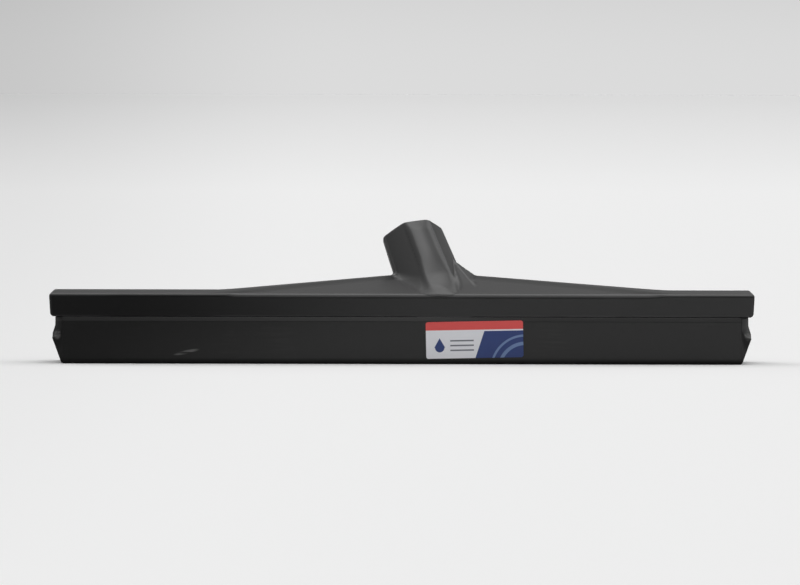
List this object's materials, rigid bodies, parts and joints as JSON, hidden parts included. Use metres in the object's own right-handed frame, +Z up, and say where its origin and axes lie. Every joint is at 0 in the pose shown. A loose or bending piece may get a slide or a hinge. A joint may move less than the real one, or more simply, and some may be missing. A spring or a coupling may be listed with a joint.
{
  "type": "floor squeegee head",
  "caption": "Floor squeegee head: long moulded bar with a leaning handle socket, a slide-in cassette of paired rubber blades and pull-off end caps.",
  "frame": {"origin": "middle of the front blade's flat wiping face, on the floor", "axes": "+X along the head to the right seen from the front, +Y from the front blade to the rear blade, +Z up"},
  "size_m": [0.45, 0.0788, 0.0912],
  "materials": {
    "frame_plastic": "satin moulded black",
    "rail_plastic": "extruded satin black",
    "pin_plastic": "moulded dark grey",
    "blade_rubber": "smooth matt black rubber",
    "cap_rubber": "soft matt black rubber",
    "label_film": "printed sticker film"
  },
  "bodies": {
    "frame": {"frame": "frame_plastic"},
    "cassette": {"cassette_rail": "rail_plastic", "front_blade": "blade_rubber", "rear_blade": "blade_rubber", "blade_pins": "pin_plastic", "label": "label_film"},
    "left_end_cap": {"left_end_cap": "cap_rubber"},
    "right_end_cap": {"right_end_cap": "cap_rubber"}
  },
  "joints": [
    {"name": "cassette_slide", "type": "slide", "parent": "frame", "child": "cassette", "axis": [1, 0, 0], "range_m": [-0.43, 0.43]},
    {"name": "left_end_cap_pull", "type": "slide", "parent": "cassette", "child": "left_end_cap", "axis": [-1, 0, 0], "range_m": [0, 0.016]},
    {"name": "right_end_cap_pull", "type": "slide", "parent": "cassette", "child": "right_end_cap", "axis": [1, 0, 0], "range_m": [0, 0.016]}
  ]
}
